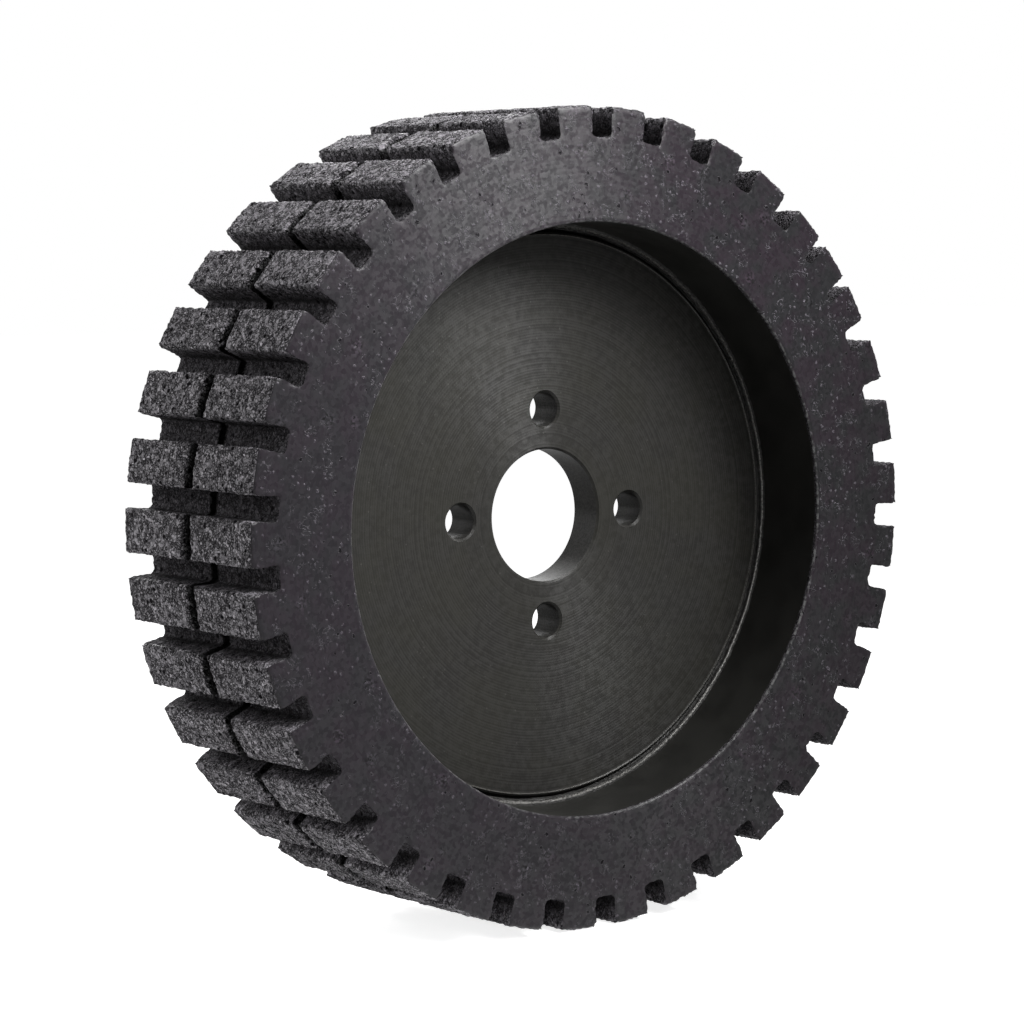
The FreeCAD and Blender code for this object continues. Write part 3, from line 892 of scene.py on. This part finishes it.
def plate_section(hub):
    """The plate's section as (radius, place along the axis), from the bore over the front and back."""
    front, back = PLATE_LOW.y, PLATE_HIGH.y
    bore_edge = hub.bore + hub.bore_chamfer
    shoulder = PLATE_RADIUS - hub.bevel
    return [
        (hub.bore, front + hub.bore_chamfer),
        (bore_edge, front),
        (shoulder - 2 * hub.burr, front),
        (shoulder - hub.burr, front - hub.burr),
        (shoulder, front),
        (PLATE_RADIUS, front + hub.bevel),
        (PLATE_RADIUS, back - hub.bevel),
        (shoulder, back),
        (shoulder - hub.burr, back + hub.burr),
        (shoulder - 2 * hub.burr, back),
        (bore_edge, back),
        (hub.bore, back - hub.bore_chamfer),
    ]


def bolt_hole_section(hub):
    """The section of a bolt hole with its chamfers, a little longer than the plate is thick."""
    front, back = PLATE_LOW.y, PLATE_HIGH.y
    past = 1 * MM
    mouth = hub.bolt_hole + hub.bolt_chamfer + past
    return [
        (0, front - past),
        (mouth, front - past),
        (hub.bolt_hole, front + hub.bolt_chamfer),
        (hub.bolt_hole, back - hub.bolt_chamfer),
        (mouth, back + past),
        (0, back + past),
    ]


class DRIVEWHEEL_OT_hub_plate(bpy.types.Operator):
    """Build the turned hub plate with its bore, bolt holes and weld bevels"""
    bl_idname = "drive_wheel.hub_plate"
    bl_label = "Hub Plate"

    def execute(self, context):
        hub = context.scene.drive_wheel_hub
        turns = [2 * math.pi * number / hub.bolt_count for number in range(hub.bolt_count)]
        centres = [(hub.bolt_circle * math.cos(turn), hub.bolt_circle * math.sin(turn)) for turn in turns]
        mesh = turned_ring("turned_hub_plate", plate_section(hub))
        mesh = drill(mesh, bolt_hole_section(hub), centres)
        shade(mesh, STEEL_SHARP)
        add_piece(mesh, [plate_material(hub)], "root", "hub_plate")
        return {"FINISHED"}


class DRIVEWHEEL_OT_rim_band(bpy.types.Operator):
    """Build the round band that carries the rubber"""
    bl_idname = "drive_wheel.rim_band"
    bl_label = "Rim Band"

    def execute(self, context):
        hub = context.scene.drive_wheel_hub
        corners = [(DISH_RADIUS, -LIP_SEAT), (BAND_RADIUS, -LIP_SEAT),
                   (BAND_RADIUS, LIP_SEAT), (DISH_RADIUS, LIP_SEAT)]
        profile = []
        for number, corner in enumerate(corners):
            profile += edge_arc(corner, corners[number - 1], corners[(number + 1) % len(corners)],
                                hub.band_round)
        mesh = turned_ring("round_rim_band", profile)
        shade(mesh, STEEL_SHARP)
        add_piece(mesh, [band_material(hub)], "root", "rim_band")
        return {"FINISHED"}


def bead_waves(weld, turn):
    """A weld bead's slow, quick and fine waves, each from about -1 to 1, round the wheel."""
    ways = [Vector((math.cos(angle), math.sin(angle), weld.seed)) for angle in turn]
    return [np.array([noise.noise(way * rate) for way in ways]) for rate in BEAD_RATES]


def bead_grid(weld, face, root, side):
    """A weld bead's grid: its section runs from the plate's bevel over a thin ridge to the band."""
    turn = np.linspace(0, 2 * math.pi, BEAD_CELLS, endpoint=False)
    slow, quick, fine = bead_waves(weld, turn)
    ridge_height = weld.ridge * (1 + 0.35 * fine + 0.25 * quick)
    ridge_place = weld.ridge_place + 0.3 * weld.wander * quick
    ripples_passed = turn * PLATE_RADIUS / weld.ripple_pitch + 0.7 * slow
    leg = weld.leg + weld.wander * slow
    reach = weld.reach + weld.wander * (quick + fine)
    toe = np.stack([PLATE_RADIUS - leg, root + leg - weld.sink])
    end = np.stack([np.full(BEAD_CELLS, DISH_RADIUS), face + reach])
    chord = end - toe
    chord_length = np.hypot(chord[0], chord[1])
    outward = np.stack([-chord[1], chord[0]]) / chord_length
    rows = []
    for share in np.linspace(0, 1, CROWN_CELLS + 1):
        swell = 4 * share * (1 - share)
        off_ridge = (share * chord_length - ridge_place) / weld.ridge_width
        ridge = ridge_height * np.exp(-off_ridge**2)
        bent = ripples_passed + weld.ripple_bend * swell
        ripple = (bent % 1.0) ** 2 * weld.ripple_height * swell
        rise = weld.crown * swell + ripple + (ridge if 0 < share < 1 else 0)
        place = toe + chord * share + outward * rise
        rows.append(polar(place[0], turn, side * place[1]))
    rows.append(polar(PLATE_RADIUS, turn, side * root))
    rows.append(rows[0])
    return np.array(rows)


class DRIVEWHEEL_OT_weld_beads(bpy.types.Operator):
    """Build the rippled weld beads between the plate and the band"""
    bl_idname = "drive_wheel.weld_beads"
    bl_label = "Weld Beads"

    def execute(self, context):
        hub = context.scene.drive_wheel_hub
        weld = context.scene.drive_wheel_weld
        material = weld_material(weld)
        for name, side, face in (("front", -1, -PLATE_LOW.y), ("rear", 1, PLATE_HIGH.y)):
            grid = bead_grid(weld, face, face - hub.bevel, side)
            mesh = make_mesh(f"{name}_rippled_weld", [(grid, True, 0)])
            close_mesh(mesh)
            shade(mesh, ROUGH_SHARP)
            add_piece(mesh, [material], "root", f"{name}_weld_bead")
        return {"FINISHED"}


class DRIVEWHEEL_OT_bond_layer(bpy.types.Operator):
    """Give the sleeve of adhesive under the rubber its finish"""
    bl_idname = "drive_wheel.bond_layer"
    bl_label = "Bond Layer"

    def execute(self, context):
        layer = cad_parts["tyre_bond_layer"]
        layer.data.materials.clear()
        layer.data.materials.append(adhesive_material())
        return {"FINISHED"}


def seen_directly(board):
    """A value that is 1 for what the camera sees, or what gloss and glass show, and 0 for soft light."""
    rays = board.add("ShaderNodeLightPath").outputs
    either = board.sum("MAXIMUM", rays["Is Camera Ray"], rays["Is Glossy Ray"])
    return board.sum("MAXIMUM", either, rays["Is Transmission Ray"])


def add_lamp(name, place, aim, size, spread, power):
    """A soft square lamp that shines at a point, its light held to a spread in degrees."""
    lamp = bpy.data.lights.new(name, "AREA")
    lamp.shape = "SQUARE"
    lamp.size = size
    lamp.energy = power
    lamp.spread = math.radians(spread)
    holder = bpy.data.objects.new(name, lamp)
    holder.location = place
    holder.rotation_euler = (Vector(aim) - Vector(place)).to_track_quat("-Z", "Y").to_euler()
    bpy.context.scene.collection.objects.link(holder)


def add_camera(stage):
    """The camera at the photograph's viewing angle."""
    data = bpy.data.cameras.new("camera")
    data.lens = stage.camera_lens
    data.sensor_width = SENSOR_WIDTH
    camera = bpy.data.objects.new("camera", data)
    place, aim = Vector(stage.camera_place), Vector(stage.camera_aim)
    level = (aim - place).to_track_quat("-Z", "Y")
    camera.rotation_mode = "QUATERNION"
    camera.rotation_quaternion = level @ Quaternion((0, 0, 1), stage.camera_roll)
    camera.location = place
    bpy.context.scene.collection.objects.link(camera)
    bpy.context.scene.camera = camera


def floor_material(stage):
    """Pale and white to the camera, a little less bright near the wheel, and it still takes shadow."""
    board = NodeBoard(bpy.data.materials.new("pale_floor"))
    pale = board.join_all(board.add("ShaderNodeBsdfDiffuse"), [(*stage.floor_colour, 1)])
    away = board.vector_sum("LENGTH", board.place)["Value"]
    glow = board.span(away, *stage.glow_reach, stage.glow_low, 1.0)
    white = board.add("ShaderNodeEmission")
    board.join(board.product(seen_directly(board), glow), white.inputs["Strength"])
    both = board.join_all(board.add("ShaderNodeAddShader"), (pale.outputs[0], white.outputs[0]))
    output = board.add("ShaderNodeOutputMaterial")
    board.join(both.outputs[0], output.inputs["Surface"])
    return board.owner


def add_floor(stage):
    """A pale floor under the wheel's lowest lug."""
    half = stage.floor_size / 2
    level = -TREAD_RADIUS
    mesh = bpy.data.meshes.new("floor")
    corners = [(-half, -half, level), (half, -half, level), (half, half, level), (-half, half, level)]
    mesh.from_pydata(corners, [], [(0, 1, 2, 3)])
    mesh.materials.append(floor_material(stage))
    floor = bpy.data.objects.new("floor", mesh)
    bpy.context.scene.collection.objects.link(floor)


def add_world():
    """A plain white background and a soft even light."""
    world = bpy.data.worlds.new("studio")
    bpy.context.scene.world = world
    board = NodeBoard(world)
    strength = board.span(seen_directly(board), 0.0, 1.0, SOFT_LIGHT, 1.0, kind="LINEAR")
    light = board.join_all(board.add("ShaderNodeBackground"), [(1, 1, 1, 1), strength])
    output = board.add("ShaderNodeOutputWorld")
    board.join(light.outputs[0], output.inputs["Surface"])


class DRIVEWHEEL_OT_stage(bpy.types.Operator):
    """Set up the camera, the pale floor, the lamps and the white background"""
    bl_idname = "drive_wheel.stage"
    bl_label = "Stage"

    def execute(self, context):
        stage = context.scene.drive_wheel_stage
        add_camera(stage)
        add_floor(stage)
        add_world()
        add_lamp("front_lamp", place=(0.12, -0.30, 0.40), aim=(-0.05, -0.04, 0.13),
                 size=0.35, spread=57, power=1.75)
        add_lamp("fill_lamp", place=(-0.065, -0.505, 0.275), aim=(-0.09, -0.04, -0.07),
                 size=0.35, spread=55, power=0.26)
        add_lamp("left_lamp", place=(-0.9, 0.8, 0.25), aim=(-0.13, 0.0, 0.03),
                 size=0.7, spread=70, power=1.5)
        add_lamp("top_lamp", place=(-0.7, 0.7, 0.8), aim=(-0.08, 0.0, 0.11),
                 size=0.7, spread=70, power=0.95)
        add_lamp("back_lamp", place=(0.6, 1.2, 0.5), aim=(0.0, 0.0, 0.0),
                 size=0.8, spread=90, power=3.0)
        context.scene.view_settings.view_transform = "Standard"
        return {"FINISHED"}


class VIEW3D_PT_drive_wheel(bpy.types.Panel):
    """Buttons for the wheel's pieces and their settings"""
    bl_label = "Drive Wheel"
    bl_idname = "VIEW3D_PT_drive_wheel"
    bl_space_type = "VIEW_3D"
    bl_region_type = "UI"
    bl_category = "Drive Wheel"

    def draw(self, context):
        scene = context.scene
        for settings, operators in (
            (scene.drive_wheel_tyre, (DRIVEWHEEL_OT_tyre_rings, DRIVEWHEEL_OT_bond_layer)),
            (scene.drive_wheel_hub, (DRIVEWHEEL_OT_hub_plate, DRIVEWHEEL_OT_rim_band)),
            (scene.drive_wheel_weld, (DRIVEWHEEL_OT_weld_beads,)),
            (scene.drive_wheel_stage, (DRIVEWHEEL_OT_stage,)),
        ):
            box = self.layout.box()
            for name in settings.__annotations__:
                box.prop(settings, name)
            for operator in operators:
                box.operator(operator.bl_idname)


CLASSES = (
    TyreSettings,
    HubSettings,
    WeldSettings,
    StageSettings,
    DRIVEWHEEL_OT_tyre_rings,
    DRIVEWHEEL_OT_hub_plate,
    DRIVEWHEEL_OT_rim_band,
    DRIVEWHEEL_OT_weld_beads,
    DRIVEWHEEL_OT_bond_layer,
    DRIVEWHEEL_OT_stage,
    VIEW3D_PT_drive_wheel,
)


def register():
    for item in CLASSES:
        bpy.utils.register_class(item)
    bpy.types.Scene.drive_wheel_tyre = PointerProperty(type=TyreSettings)
    bpy.types.Scene.drive_wheel_hub = PointerProperty(type=HubSettings)
    bpy.types.Scene.drive_wheel_weld = PointerProperty(type=WeldSettings)
    bpy.types.Scene.drive_wheel_stage = PointerProperty(type=StageSettings)


def unregister():
    del bpy.types.Scene.drive_wheel_tyre
    del bpy.types.Scene.drive_wheel_hub
    del bpy.types.Scene.drive_wheel_weld
    del bpy.types.Scene.drive_wheel_stage
    for item in reversed(CLASSES):
        bpy.utils.unregister_class(item)


def main():
    register()
    bpy.ops.drive_wheel.stage()
    bpy.ops.drive_wheel.hub_plate()
    bpy.ops.drive_wheel.rim_band()
    bpy.ops.drive_wheel.weld_beads()
    bpy.ops.drive_wheel.bond_layer()
    bpy.ops.drive_wheel.tyre_rings()


if __name__ == "__main__":
    main()
